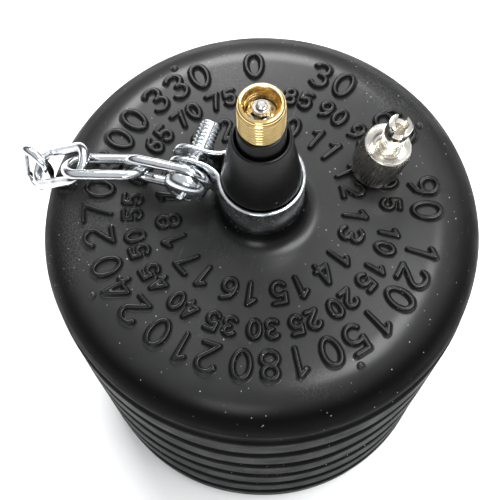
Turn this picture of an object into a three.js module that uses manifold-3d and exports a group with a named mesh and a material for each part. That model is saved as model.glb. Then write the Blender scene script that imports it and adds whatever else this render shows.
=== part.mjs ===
// An inflatable pipe plug for a 100 mm pipe, with the air let out of it.
// A ribbed rubber body carries a brass tyre valve in its neck. A steel clamp round the neck
// holds the first link of a chain on its screw, and the valve's cap stands on the top face.
// Millimetres, +Z up. The origin is the centre of the flat base, the valve is the Z axis,
// and the ears of the clamp point along -X.

import * as THREE from "three";
import { mergeVertices } from "three/addons/utils/BufferGeometryUtils.js";
import Module from "manifold-3d";

const wasm = await Module();
wasm.setup();

// Rubber body
const BODY_RADIUS = 43;
const BODY_HEIGHT = 85.5;
const SHOULDER_REACH = 10.5;
const SHOULDER_DROP = 10;
const BASE_EDGE_RADIUS = 6;
const WALL = 6.5;
const CROWN_THICKNESS = 9;
const FLOOR_THICKNESS = 8;
const CHAMBER_FILLET = 6;
const GROOVE_COUNT = 6;
const GROOVE_PITCH = 12.7;
const FIRST_GROOVE_DEPTH = 10;
const GROOVE_WIDTH = 5;
const GROOVE_CUT = 0.9;
const GROOVE_SLOPE = 1.1;
const NUB_COUNT = 4;
const NUB_RADIUS = 0.9;
const NUB_RING_RADIUS = 35.6;
const NUB_FIRST_DEG = 49;

// Neck of the body
const NECK_HEIGHT = 27;
const NECK_TOP_RADIUS = 5.15;
const NECK_CONE_RADIUS = 7.15;
const NECK_FILLET = 4.4;
const NECK_EDGE = 0.4;

// Clamp round the neck
const BAND_INNER_RADIUS = 7.1;
const BAND_THICKNESS = 0.8;
const BAND_WIDTH = 8.5;
const BAND_LIFT = 4.6;
const EAR_GAP = 1.8;
const EAR_BEYOND_SCREW = 4.6;
const SCREW_STANDOFF = 0.75;
const MOUTH_DEG = 24;

// Screw through the ears
const SCREW_RADIUS = 2.05;
const SCREW_LENGTH = 13.2;
const SCREW_POINT = 0.5;
const HEAD_RADIUS = 4;
const HEAD_HEIGHT = 2.6;
const HEAD_RIM = 0.7;
const RECESS_WIDTH = 0.9;
const RECESS_SPAN = 4.2;
const RECESS_DEPTH = 1.4;

// Chain
const WIRE_RADIUS = 1;
const LINK_LENGTH = 17.6;
const LINK_PLAY = 0.35;

// How each link lies: the way its long axis runs from above, how far it dips and its roll, in
// degrees, and where its near end lies inside the link before, in millimetres: slack is play
// along the link, shift is to its side and lift is across it.
const LINK_LIES = [
  { turn: 180, dip: 12.6, roll: 88, slack: 0, shift: 0, lift: 0 },
  { turn: 192.5, dip: 11.2, roll: 35.7, slack: 0.56, shift: -0.2, lift: -0.38 },
  { turn: 181, dip: 40.9, roll: -12.5, slack: 0.74, shift: -1.04, lift: -1.44 },
  { turn: 180, dip: 80.9, roll: 107.7, slack: 1.12, shift: 1.36, lift: 0.94 },
];
const DIP_STEP = 2;
const PLAY_STEP = 0.4;
const MOST_PLAY = 4;

// Valve stem and the rubber sleeve bonded round it
const MOUTH_HEIGHT = 37.4;
const THREAD_RADIUS = 3.9;
const THREAD_LENGTH = 7;
const THREAD_CHAMFER = 0.45;
const SHANK_RADIUS = 2.9;
const SLEEVE_RADIUS = 4.1;
const FOOT_RADIUS = 10;
const FOOT_THICKNESS = 2.6;
const STEM_BELOW_FOOT = 1.5;
const STEM_FOOT_RADIUS = 4.6;
const STEM_FOOT_THICKNESS = 1.2;

// Bore of the stem
const PLUG_PLAY = 0.25;
const BORE_LEAD = 0.25;
const CORE_BORE_DEPTH = 7.4;
const SEAT_DEPTH = 1.2;
const AIR_BORE_RADIUS = 2;

// Valve core, measured down from the mouth of the stem
const PLUG_RADIUS = 2.45;
const PLUG_TOP = 3;
const PLUG_LENGTH = 3.2;
const BRIDGE_TOP = 1.1;
const BRIDGE_THICKNESS = 0.8;
const BRIDGE_WIDTH = 1.3;
const PIN_HEAD_RADIUS = 0.78;
const PIN_HEAD_TOP = 0.3;
const PIN_HEAD_LENGTH = 3.4;
const PIN_RADIUS = 0.45;
const PIN_COLLAR_RADIUS = 0.95;
const PIN_COLLAR_LENGTH = 0.6;
const BARREL_RADIUS = 1.6;
const BARREL_BORE = 1.2;
const BARREL_LENGTH = 8;
const BARREL_LEDGE = 0.7;
const GASKET_LENGTH = 1.6;
const CUP_RADIUS = 1.55;
const CUP_LENGTH = 1.6;
const SEAL_THICKNESS = 0.6;
const SPRING_WIRE = 0.14;
const SPRING_TURNS = 7;

// Valve cap
const CAP_WALL = 0.45;
const CAP_HEIGHT = 9.3;
const CAP_SKIRT = 1.4;
const CAP_BORE_DEPTH = 6.8;
const CAP_TOP_WALL = 0.9;
const KNURL_TEETH = 32;
const KNURL_CUT = 0.3;
const RECESS_RING_RADIUS = 2.9;
const RECESS_RING_DEPTH = 0.9;
const KEY_RADIUS = 2.2;
const KEY_WAIST_RADIUS = 1.75;
const KEY_LENGTH = 7.6;
const KEY_TIP_LENGTH = 4.2;
const KEY_BORE_RADIUS = 1.25;
const KEY_BORE_DEPTH = 4.6;
const KEY_SLOT_WIDTH = 1.7;
const KEY_SLOT_DEPTH = 1.9;
const KEY_SLOT_DEG = 6;
const CAP_SEAL_THICKNESS = 1;
const CAP_SEAL_BORE = 1.6;
const CAP_PLACE = [17.7, 14.4];
const CAP_LEAN_DEG = 10.4;
const CAP_LEAN_TOWARD_DEG = 17;

// Clearances
const GAP = 0.3;
const CORE_GAP = 0.15;

// Steps round a turned piece
const BODY_STEPS = 60;
const SMALL_STEPS = 28;
const CORE_STEPS = 18;

// Radii and places that several pieces share
const SCREW_CLEAR_RADIUS = SCREW_RADIUS + GAP;
const SCREW_FROM_AXIS =
  BAND_INNER_RADIUS + BAND_THICKNESS + SCREW_CLEAR_RADIUS + 2 * WIRE_RADIUS + SCREW_STANDOFF;
const LINK_WIDTH = 2 * (SCREW_RADIUS + LINK_PLAY + 2 * WIRE_RADIUS);
const CORE_BORE_RADIUS = PLUG_RADIUS + PLUG_PLAY;
const MOUTH_BORE_RADIUS = CORE_BORE_RADIUS + BORE_LEAD;
const CAP_BORE_RADIUS = THREAD_RADIUS + CORE_GAP;
const CAP_CORE_RADIUS = CAP_BORE_RADIUS + CAP_WALL;

// Heights that several pieces share
const FACE = BODY_HEIGHT;
const NECK_TOP = FACE + NECK_HEIGHT;
const CEILING = FACE - CROWN_THICKNESS;
const BAND_BOTTOM = FACE + BAND_LIFT;
const BAND_TOP = BAND_BOTTOM + BAND_WIDTH;
const SCREW_HEIGHT = BAND_BOTTOM + BAND_WIDTH / 2;
const MOUTH = FACE + MOUTH_HEIGHT;
const SLEEVE_TOP = MOUTH - THREAD_LENGTH - GAP;
const FOOT_TOP = CEILING - GAP;
const STEM_BOTTOM = FOOT_TOP - FOOT_THICKNESS - GAP - STEM_FOOT_THICKNESS - STEM_BELOW_FOOT;

// Offsets of the clamp's ears and of what the screw holds against them
const EAR_OFFSET = EAR_GAP / 2 + BAND_THICKNESS / 2;
const NEAR_EAR_FACE = -EAR_GAP / 2 - BAND_THICKNESS;
const LINK_1_OFFSET = NEAR_EAR_FACE - GAP - WIRE_RADIUS;
const HEAD_SEAT = LINK_1_OFFSET - WIRE_RADIUS - GAP;

// Degrees to radians
const rad = THREE.MathUtils.degToRad;

// Only the positions of a geometry, with shared corners merged and collapsed faces dropped
function welded(geometry) {
  const bare = geometry.clone();
  bare.deleteAttribute("normal");
  bare.deleteAttribute("uv");
  const merged = mergeVertices(bare, 1e-4);
  const index = merged.index.array;
  const kept = [];
  for (let i = 0; i < index.length; i += 3) {
    const [a, b, c] = [index[i], index[i + 1], index[i + 2]];
    if (a !== b && b !== c && c !== a) kept.push(a, b, c);
  }
  merged.setIndex(kept);
  return merged;
}

// A closed geometry as a solid that can be joined and cut
function solid(geometry) {
  const merged = welded(geometry);
  return new wasm.Manifold(
    new wasm.Mesh({
      numProp: 3,
      vertProperties: new Float32Array(merged.attributes.position.array),
      triVerts: new Uint32Array(merged.index.array),
    }),
  );
}

// A solid back as a geometry
function geometryOf(body) {
  const data = body.getMesh();
  const positions = new Float32Array(data.numVert * 3);
  for (let i = 0; i < data.numVert; i++) {
    const start = i * data.numProp;
    positions.set(data.vertProperties.subarray(start, start + 3), i * 3);
  }
  const geometry = new THREE.BufferGeometry();
  geometry.setAttribute("position", new THREE.BufferAttribute(positions, 3));
  geometry.setIndex(new THREE.BufferAttribute(new Uint32Array(data.triVerts), 1));
  geometry.computeVertexNormals();
  return geometry;
}

// A profile of [radius, height] points turned round the Z axis
function turned(profile, steps) {
  const points = profile.map(([r, z]) => new THREE.Vector2(r, z));
  return new THREE.LatheGeometry(points, steps).rotateX(Math.PI / 2);
}

// A profile that closes on itself, away from the axis
function turnedRing(profile, steps) {
  return turned([...profile, profile[0]], steps);
}

// Points of an elliptical arc as [radius, height], both ends included
function arc(centreR, centreZ, reachR, reachZ, fromDeg, toDeg, steps) {
  const points = [];
  for (let i = 0; i <= steps; i++) {
    const angle = rad(fromDeg + ((toDeg - fromDeg) * i) / steps);
    points.push([centreR + reachR * Math.cos(angle), centreZ + reachZ * Math.sin(angle)]);
  }
  return points;
}

// A flat outline pushed up from z = low to z = high
function prism(outline, low, high) {
  const shape = new THREE.Shape(outline.map(([x, y]) => new THREE.Vector2(x, y)));
  const geometry = new THREE.ExtrudeGeometry(shape, {
    depth: high - low,
    bevelEnabled: false,
  });
  return geometry.translate(0, 0, low);
}

// A cylinder along Z from z = low to z = high
function rod(radius, low, high, steps) {
  return turned([[0, low], [radius, low], [radius, high], [0, high]], steps);
}

// Grooves down the side of the body as points of its profile. The shoulder ends at the first one.
function grooves() {
  const points = [];
  for (let i = 0; i < GROOVE_COUNT; i++) {
    const middle = FACE - FIRST_GROOVE_DEPTH - i * GROOVE_PITCH;
    if (i) points.push([BODY_RADIUS, middle + GROOVE_WIDTH / 2]);
    points.push([BODY_RADIUS - GROOVE_CUT, middle + GROOVE_WIDTH / 2 - GROOVE_SLOPE]);
    points.push([BODY_RADIUS - GROOVE_CUT, middle - GROOVE_WIDTH / 2 + GROOVE_SLOPE]);
    points.push([BODY_RADIUS, middle - GROOVE_WIDTH / 2]);
  }
  return points;
}

// Height of the top face, and of the shoulder where the face ends
function faceHeight(radius) {
  const past = Math.max(radius - BODY_RADIUS + SHOULDER_REACH, 0) / SHOULDER_REACH;
  return FACE - SHOULDER_DROP * (1 - Math.sqrt(Math.max(1 - past * past, 0)));
}

// Rubber body: neck, top face, shoulder, ribbed side and base outside, and the air chamber inside
function rubberBody() {
  const bore = SLEEVE_RADIUS + GAP;
  const seat = BAND_INNER_RADIUS - GAP;
  const shoulderStart = BODY_RADIUS - SHOULDER_REACH;
  const lip = FIRST_GROOVE_DEPTH - GROOVE_WIDTH / 2;
  const lipDeg = THREE.MathUtils.radToDeg(Math.asin(1 - lip / SHOULDER_DROP));
  const edge = BASE_EDGE_RADIUS;
  const chamber = BODY_RADIUS - WALL;
  const fillet = CHAMBER_FILLET;
  const outside = [
    [bore, NECK_TOP],
    [NECK_TOP_RADIUS - NECK_EDGE, NECK_TOP],
    [NECK_TOP_RADIUS, NECK_TOP - NECK_EDGE],
    [NECK_CONE_RADIUS, BAND_TOP + 2 * GAP],
    [seat, BAND_TOP + GAP],
    ...arc(seat + NECK_FILLET, FACE + NECK_FILLET, NECK_FILLET, NECK_FILLET, 180, 270, 4),
    ...arc(shoulderStart, FACE - SHOULDER_DROP, SHOULDER_REACH, SHOULDER_DROP, 90, lipDeg, 8),
    ...grooves(),
    ...arc(BODY_RADIUS - edge, edge, edge, edge, 0, -90, 4),
    [0, 0],
  ];
  const inside = [
    [0, FLOOR_THICKNESS],
    ...arc(chamber - fillet, FLOOR_THICKNESS + fillet, fillet, fillet, -90, 0, 3),
    ...arc(chamber - fillet, CEILING - fillet, fillet, fillet, 0, 90, 3),
    [bore, CEILING],
  ];
  let body = solid(turnedRing([...outside, ...inside].reverse(), BODY_STEPS));
  for (let i = 0; i < NUB_COUNT; i++) {
    const angle = rad(NUB_FIRST_DEG + (360 / NUB_COUNT) * i);
    const nub = new THREE.SphereGeometry(NUB_RADIUS, 10, 6);
    const [x, y] = [NUB_RING_RADIUS * Math.cos(angle), NUB_RING_RADIUS * Math.sin(angle)];
    nub.translate(x, y, faceHeight(NUB_RING_RADIUS));
    body = body.add(solid(nub));
  }
  return geometryOf(body);
}

// Rubber sleeve round the stem, with a wide foot under the crown of the body
function stemSleeve() {
  const bore = SHANK_RADIUS + GAP;
  const footBottom = FOOT_TOP - FOOT_THICKNESS;
  const edge = 0.5;
  const profile = [
    [bore, footBottom],
    [FOOT_RADIUS - edge, footBottom],
    [FOOT_RADIUS, footBottom + edge],
    [FOOT_RADIUS - edge, FOOT_TOP - edge],
    [SLEEVE_RADIUS + 2 * edge, FOOT_TOP],
    [SLEEVE_RADIUS, FOOT_TOP],
    [SLEEVE_RADIUS, SLEEVE_TOP - edge / 2],
    [SLEEVE_RADIUS - edge / 2, SLEEVE_TOP],
    [bore, SLEEVE_TOP],
  ];
  return turnedRing(profile, SMALL_STEPS);
}

// Brass stem: threaded head above the sleeve, shank down to a foot, and the stepped bore
function valveStem() {
  const threadBottom = MOUTH - THREAD_LENGTH;
  const footTop = FOOT_TOP - FOOT_THICKNESS - GAP;
  const seatTop = MOUTH - CORE_BORE_DEPTH;
  const profile = [
    [AIR_BORE_RADIUS, STEM_BOTTOM],
    [SHANK_RADIUS, STEM_BOTTOM],
    [SHANK_RADIUS, footTop - STEM_FOOT_THICKNESS],
    [STEM_FOOT_RADIUS, footTop - STEM_FOOT_THICKNESS],
    [STEM_FOOT_RADIUS, footTop],
    [SHANK_RADIUS, footTop],
    [SHANK_RADIUS, threadBottom],
    [THREAD_RADIUS - THREAD_CHAMFER, threadBottom],
    [THREAD_RADIUS, threadBottom + THREAD_CHAMFER],
    [THREAD_RADIUS, MOUTH - THREAD_CHAMFER],
    [THREAD_RADIUS - THREAD_CHAMFER, MOUTH],
    [MOUTH_BORE_RADIUS, MOUTH],
    [CORE_BORE_RADIUS, MOUTH - BORE_LEAD],
    [CORE_BORE_RADIUS, seatTop],
    [AIR_BORE_RADIUS, seatTop - SEAT_DEPTH],
  ];
  return turnedRing(profile, SMALL_STEPS);
}

// Plug of the core: a threaded ring, and a bridge over it with the hole that guides the pin
function corePlug() {
  const top = MOUTH - PLUG_TOP;
  const bridgeTop = MOUTH - BRIDGE_TOP;
  const bridgeBottom = bridgeTop - BRIDGE_THICKNESS;
  const pinHole = PIN_HEAD_RADIUS + CORE_GAP;
  const armFoot = PLUG_RADIUS - BRIDGE_THICKNESS;
  const ring = turnedRing(
    [
      [BARREL_BORE, top - PLUG_LENGTH],
      [PLUG_RADIUS, top - PLUG_LENGTH],
      [PLUG_RADIUS, top],
      [BARREL_BORE, top],
    ],
    CORE_STEPS,
  );
  const side = [
    [-PLUG_RADIUS, top - BRIDGE_THICKNESS],
    [-armFoot, top - BRIDGE_THICKNESS],
    [-armFoot, top],
    [-pinHole, bridgeBottom],
    [pinHole, bridgeBottom],
    [armFoot, top],
    [armFoot, top - BRIDGE_THICKNESS],
    [PLUG_RADIUS, top - BRIDGE_THICKNESS],
    [PLUG_RADIUS, top + BRIDGE_THICKNESS / 2],
    [pinHole + BRIDGE_THICKNESS / 2, bridgeTop],
    [-pinHole - BRIDGE_THICKNESS / 2, bridgeTop],
    [-PLUG_RADIUS, top + BRIDGE_THICKNESS / 2],
  ];
  const arch = prism(side, -BRIDGE_WIDTH / 2, BRIDGE_WIDTH / 2).rotateX(Math.PI / 2);
  const collar = rod(pinHole + BRIDGE_THICKNESS / 2, bridgeBottom, bridgeTop, CORE_STEPS);
  const inside = rod(PLUG_RADIUS, top - PLUG_LENGTH, MOUTH, CORE_STEPS);
  const hole = rod(pinHole, bridgeBottom - PLUG_TOP, MOUTH, CORE_STEPS);
  const bridge = solid(arch).intersect(solid(inside)).add(solid(collar));
  return geometryOf(bridge.add(solid(ring)).subtract(solid(hole)));
}

// Barrel under the plug, with the ledge that the spring stands on
function coreBarrel() {
  const top = MOUTH - PLUG_TOP - PLUG_LENGTH - CORE_GAP;
  const bottom = top - BARREL_LENGTH;
  const profile = [
    [PIN_RADIUS + CORE_GAP, bottom],
    [BARREL_RADIUS, bottom],
    [BARREL_RADIUS, top],
    [BARREL_BORE, top],
    [BARREL_BORE, bottom + BARREL_LEDGE],
    [PIN_RADIUS + CORE_GAP, bottom + BARREL_LEDGE],
  ];
  return turnedRing(profile, CORE_STEPS);
}

// Cone gasket round the barrel, against the seat in the stem
function coreGasket() {
  const top = MOUTH - CORE_BORE_DEPTH - CORE_GAP;
  const wide = CORE_BORE_RADIUS - 2 * CORE_GAP;
  const narrow = AIR_BORE_RADIUS - CORE_GAP / 2;
  const bore = BARREL_RADIUS + CORE_GAP / 2;
  const profile = [
    [bore, top - GASKET_LENGTH],
    [narrow, top - GASKET_LENGTH],
    [narrow, top - SEAT_DEPTH],
    [wide, top],
    [bore, top],
  ];
  return turnedRing(profile, CORE_STEPS);
}

// Heights along the pin, shared by the pin, its spring, its cup and its seal
const PIN_TOP = MOUTH - PIN_HEAD_TOP;
const COLLAR_TOP = MOUTH - PLUG_TOP - PLUG_LENGTH - 2 * CORE_GAP;
const COLLAR_BOTTOM = COLLAR_TOP - PIN_COLLAR_LENGTH;
const BARREL_BOTTOM = MOUTH - PLUG_TOP - PLUG_LENGTH - CORE_GAP - BARREL_LENGTH;
const SEAL_TOP = BARREL_BOTTOM - CORE_GAP;
const CUP_TOP = SEAL_TOP - SEAL_THICKNESS - CORE_GAP;

// Pin: button head at the mouth, a collar that the spring pushes up, and the stem down to the cup
function corePin() {
  const round = 0.2;
  const profile = [
    [0, CUP_TOP],
    [PIN_RADIUS, CUP_TOP],
    [PIN_RADIUS, COLLAR_BOTTOM],
    [PIN_COLLAR_RADIUS, COLLAR_BOTTOM],
    [PIN_COLLAR_RADIUS, COLLAR_TOP],
    [PIN_RADIUS, COLLAR_TOP],
    [PIN_RADIUS, PIN_TOP - PIN_HEAD_LENGTH],
    [PIN_HEAD_RADIUS, PIN_TOP - PIN_HEAD_LENGTH],
    [PIN_HEAD_RADIUS, PIN_TOP - round],
    [PIN_HEAD_RADIUS - round, PIN_TOP],
    [0, PIN_TOP],
  ];
  return turned(profile, CORE_STEPS);
}

// Cup fixed on the foot of the pin
function coreCup() {
  const top = CUP_TOP - CORE_GAP;
  const profile = [
    [0, top - CUP_LENGTH],
    [CUP_RADIUS * 0.6, top - CUP_LENGTH],
    [CUP_RADIUS, top - CUP_LENGTH * 0.6],
    [CUP_RADIUS, top],
    [0, top],
  ];
  return turned(profile, CORE_STEPS);
}

// Rubber seal on the cup, which shuts the foot of the barrel
function coreSeal() {
  const bottom = SEAL_TOP - SEAL_THICKNESS;
  const bore = PIN_RADIUS + CORE_GAP;
  const profile = [
    [bore, bottom],
    [CUP_RADIUS, bottom],
    [CUP_RADIUS, SEAL_TOP],
    [bore, SEAL_TOP],
  ];
  return turnedRing(profile, CORE_STEPS);
}

// Helix that the spring's wire follows
class Helix extends THREE.Curve {
  constructor(radius, low, high, turns) {
    super();
    Object.assign(this, { radius, low, high, turns });
  }

  getPoint(t) {
    const angle = t * this.turns * 2 * Math.PI;
    return new THREE.Vector3(
      this.radius * Math.cos(angle),
      this.radius * Math.sin(angle),
      this.low + t * (this.high - this.low),
    );
  }
}

// Spring between the barrel's ledge and the pin's collar
function coreSpring() {
  const radius = (PIN_RADIUS + BARREL_BORE) / 2;
  const low = BARREL_BOTTOM + BARREL_LEDGE + SPRING_WIRE + CORE_GAP / 2;
  const high = COLLAR_BOTTOM - SPRING_WIRE - CORE_GAP / 2;
  const wire = new THREE.Shape();
  wire.absarc(0, 0, SPRING_WIRE, 0, 2 * Math.PI);
  return new THREE.ExtrudeGeometry(wire, {
    steps: SPRING_TURNS * 9,
    curveSegments: 3,
    extrudePath: new Helix(radius, low, high, SPRING_TURNS),
  });
}

// Points of a soft bend from one place to another round a corner
function bend(from, corner, to, steps) {
  const curve = new THREE.QuadraticBezierCurve(
    new THREE.Vector2(...from),
    new THREE.Vector2(...corner),
    new THREE.Vector2(...to),
  );
  return curve.getPoints(steps).map((p) => [p.x, p.y]);
}

// Middle line of the clamp from above: one ear, round the neck, and the other ear
function bandLine() {
  const radius = BAND_INNER_RADIUS + BAND_THICKNESS / 2;
  const tip = -SCREW_FROM_AXIS - EAR_BEYOND_SCREW;
  const flatEnd = -SCREW_FROM_AXIS + SCREW_CLEAR_RADIUS;
  const rootDeg = 180 - MOUTH_DEG;
  const round = arc(0, 0, radius, radius, rootDeg, -rootDeg, 30);
  const root = round[0];
  const corner = [-radius * Math.cos(rad(MOUTH_DEG / 2)), radius * Math.sin(rad(MOUTH_DEG * 0.65))];
  const bendStart = [flatEnd + BAND_THICKNESS, EAR_OFFSET * 1.1];
  const ear = [[tip, EAR_OFFSET], [flatEnd, EAR_OFFSET], ...bend(bendStart, corner, root, 5)];
  const mirrored = ear.map(([x, y]) => [x, -y]).reverse();
  return [...ear, ...round.slice(1, -1), ...mirrored];
}

// A strip of even thickness along a line
function strip(line, thickness) {
  const sides = [[], []];
  line.forEach(([x, y], i) => {
    const [ax, ay] = line[Math.max(i - 1, 0)];
    const [bx, by] = line[Math.min(i + 1, line.length - 1)];
    const length = Math.hypot(bx - ax, by - ay);
    const shift = thickness / 2 / length;
    sides[0].push([x - (by - ay) * shift, y + (bx - ax) * shift]);
    sides[1].push([x + (by - ay) * shift, y - (bx - ax) * shift]);
  });
  return [...sides[0], ...sides[1].reverse()];
}

// Clamp: one strip of sheet with rounded ears, drilled for the screw
function clampBand() {
  const half = BAND_WIDTH / 2;
  const reach = 4 * BAND_INNER_RADIUS;
  const endCentre = -SCREW_FROM_AXIS - EAR_BEYOND_SCREW + half;
  const side = [
    [reach, SCREW_HEIGHT - half],
    [reach, SCREW_HEIGHT + half],
    ...arc(endCentre, SCREW_HEIGHT, half, half, 90, 270, 12),
  ];
  const sheet = prism(strip(bandLine(), BAND_THICKNESS), BAND_BOTTOM, BAND_TOP);
  const outline = prism(side, -reach, reach).rotateX(Math.PI / 2);
  const drill = rod(SCREW_CLEAR_RADIUS, -reach, 0, SMALL_STEPS).rotateX(-Math.PI / 2);
  const near = drill.clone().translate(-SCREW_FROM_AXIS, 0, SCREW_HEIGHT);
  const far = drill.translate(-SCREW_FROM_AXIS, reach, SCREW_HEIGHT);
  const band = solid(sheet).intersect(solid(outline));
  return geometryOf(band.subtract(solid(near)).subtract(solid(far)));
}

// Pan head screw with a cross recess, made along +Z with the head's seat at z = 0
function clampScrew() {
  const dome = arc(0, -HEAD_RIM, HEAD_RADIUS, HEAD_HEIGHT - HEAD_RIM, -90, 0, 6);
  const profile = [
    ...dome,
    [HEAD_RADIUS, 0],
    [SCREW_RADIUS, 0],
    [SCREW_RADIUS, SCREW_LENGTH - SCREW_POINT],
    [SCREW_RADIUS - SCREW_POINT, SCREW_LENGTH],
    [0, SCREW_LENGTH],
  ];
  let screw = solid(turned(profile, SMALL_STEPS));
  for (const turn of [25, 115]) {
    const slot = new THREE.BoxGeometry(RECESS_SPAN, RECESS_WIDTH, 2 * RECESS_DEPTH);
    slot.rotateZ(rad(turn)).translate(0, 0, -HEAD_HEIGHT);
    screw = screw.subtract(solid(slot));
  }
  return geometryOf(screw);
}

// Middle line of a chain link's wire: two half rounds joined by straights, in the XY plane
class LinkLine extends THREE.Curve {
  getPoint(t) {
    const radius = LINK_WIDTH / 2 - WIRE_RADIUS;
    const straight = LINK_LENGTH - LINK_WIDTH;
    const half = Math.PI * radius;
    const way = (t % 1) * 2 * (half + straight);
    const side = way < half + straight ? 1 : -1;
    const along = side === 1 ? way : way - half - straight;
    const [x, y] =
      along < half
        ? [straight / 2 + radius * Math.sin(along / radius), -radius * Math.cos(along / radius)]
        : [straight / 2 - (along - half), radius];
    return new THREE.Vector3(side * x, side * y, 0);
  }
}

// A link, closed all round
function chainLink() {
  return new THREE.TubeGeometry(new LinkLine(), 36, WIRE_RADIUS, 8, true);
}

// The directions of a link's length, width and normal
function linkAxes({ turn, dip, roll }) {
  const [t, d, r] = [rad(turn), rad(dip), rad(roll)];
  const along = new THREE.Vector3(
    Math.cos(t) * Math.cos(d),
    Math.sin(t) * Math.cos(d),
    -Math.sin(d),
  );
  const level = new THREE.Vector3(-Math.sin(t), Math.cos(t), 0);
  const rising = along.clone().cross(level);
  const across = level.multiplyScalar(Math.cos(r)).addScaledVector(rising, Math.sin(r));
  return { along, across, normal: along.clone().cross(across) };
}

// Points of the middle line of a link's wire, where the link lies
function wirePoints(link) {
  const points = new LinkLine().getPoints(48);
  return points.map((local) => local.applyQuaternion(link.quaternion).add(link.position));
}

// Whether a link's wire stays outside the face, the shoulder and the side of the body
function clearOfBody(link) {
  const keep = WIRE_RADIUS + GAP;
  const shoulderStart = BODY_RADIUS - SHOULDER_REACH;
  const shoulderHeight = FACE - SHOULDER_DROP;
  return wirePoints(link).every((point) => {
    const out = Math.max(Math.hypot(point.x, point.y) - shoulderStart, 0);
    const above = Math.max(point.z - shoulderHeight, 0);
    return Math.hypot(out / (SHOULDER_REACH + keep), above / (SHOULDER_DROP + keep)) >= 1;
  });
}

// Whether the wires of two links stay apart
function clearOfLink(link, other) {
  const near = wirePoints(other);
  const keep = 2 * WIRE_RADIUS + GAP / 2;
  return wirePoints(link).every((point) => near.every((q) => q.distanceTo(point) >= keep));
}

// Ways for a link to lie, its own first: share of its shift and lift, and a change of its roll
const OTHER_LIES = [0, 15, -15, 30, -30, 50, -50, 70, -70, 90].flatMap((twist) => [
  [1, twist],
  [0.5, twist],
  [0, twist],
]);

// One link with its near end inside the far end of the one before it. It lies as it is said to,
// or as near to that as keeps it clear of the body and of the link before it.
function settleLink(link, lie, hook, hooked, before) {
  const halfLine = LINK_LENGTH / 2 - WIRE_RADIUS;
  for (const [share, twist] of OTHER_LIES) {
    for (let dip = lie.dip; dip > -90; dip -= DIP_STEP) {
      for (let play = lie.slack; play < lie.slack + MOST_PLAY; play += PLAY_STEP) {
        const { along, across, normal } = linkAxes({ ...lie, dip, roll: lie.roll + twist });
        const basis = new THREE.Matrix4().makeBasis(along, across, normal);
        link.quaternion.setFromRotationMatrix(basis);
        link.position.copy(hook).addScaledVector(along, halfLine - hooked - play);
        link.position.addScaledVector(across, lie.shift * share);
        link.position.addScaledVector(normal, lie.lift * share);
        if (clearOfBody(link) && (!before || clearOfLink(link, before))) {
          return link.position.clone().addScaledVector(along, halfLine);
        }
      }
    }
  }
  throw new Error(`${link.name} finds no place clear of the body and the link before it`);
}

// Chain of links, from the screw
function placeLinks(material) {
  const links = [];
  let hook = new THREE.Vector3(-SCREW_FROM_AXIS, LINK_1_OFFSET, SCREW_HEIGHT);
  let hooked = SCREW_CLEAR_RADIUS + WIRE_RADIUS;
  LINK_LIES.forEach((lie, i) => {
    const link = mesh(`chain_link_${i + 1}`, chainLink(), material);
    hook = settleLink(link, lie, hook, hooked, links[i - 1]);
    hooked = 2 * WIRE_RADIUS + GAP;
    links.push(link);
  });
  return links;
}

// Ring of pointed teeth
function knurl(low, high) {
  const outline = [];
  for (let i = 0; i < 2 * KNURL_TEETH; i++) {
    const radius = CAP_CORE_RADIUS + (i % 2 ? KNURL_CUT : 0);
    const angle = (Math.PI * i) / KNURL_TEETH;
    outline.push([radius * Math.cos(angle), radius * Math.sin(angle)]);
  }
  return prism(outline, low, high);
}

// Cap: knurled grip with the thread bore under it, and a slotted key for the core on top
function valveCap() {
  const bore = CAP_BORE_RADIUS;
  const waistBottom = CAP_HEIGHT - RECESS_RING_DEPTH;
  const keyTop = CAP_HEIGHT + KEY_LENGTH;
  const keyBottom = keyTop - KEY_TIP_LENGTH;
  const core = CAP_CORE_RADIUS;
  const profile = [
    [0, CAP_BORE_DEPTH],
    [bore, CAP_BORE_DEPTH],
    [bore, 0],
    [core - KNURL_CUT, 0],
    [core, KNURL_CUT],
    [core, CAP_HEIGHT],
    [RECESS_RING_RADIUS, CAP_HEIGHT],
    [RECESS_RING_RADIUS - KNURL_CUT, waistBottom],
    [KEY_WAIST_RADIUS, waistBottom],
    [KEY_WAIST_RADIUS, keyBottom - KNURL_CUT],
    [KEY_RADIUS, keyBottom],
    [KEY_RADIUS, keyTop - KNURL_CUT],
    [KEY_RADIUS - KNURL_CUT, keyTop],
    [KEY_BORE_RADIUS, keyTop],
    [KEY_BORE_RADIUS, keyTop - KEY_BORE_DEPTH],
    [0, keyTop - KEY_BORE_DEPTH],
  ];
  const grip = solid(knurl(CAP_SKIRT, CAP_HEIGHT));
  const gripHole = solid(rod(core - KNURL_CUT, 0, keyTop, SMALL_STEPS));
  const slot = new THREE.BoxGeometry(KEY_SLOT_WIDTH, 4 * KEY_RADIUS, 2 * KEY_SLOT_DEPTH);
  slot.rotateZ(rad(KEY_SLOT_DEG)).translate(0, 0, keyTop);
  const turnedPart = solid(turned(profile, SMALL_STEPS));
  return geometryOf(turnedPart.add(grip.subtract(gripHole)).subtract(solid(slot)));
}

// Rubber washer at the end of the cap's bore
function capSeal() {
  const top = CAP_BORE_DEPTH - CORE_GAP;
  const profile = [
    [CAP_SEAL_BORE, top - CAP_SEAL_THICKNESS],
    [THREAD_RADIUS, top - CAP_SEAL_THICKNESS],
    [THREAD_RADIUS, top],
    [CAP_SEAL_BORE, top],
  ];
  return turnedRing(profile, SMALL_STEPS);
}

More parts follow.
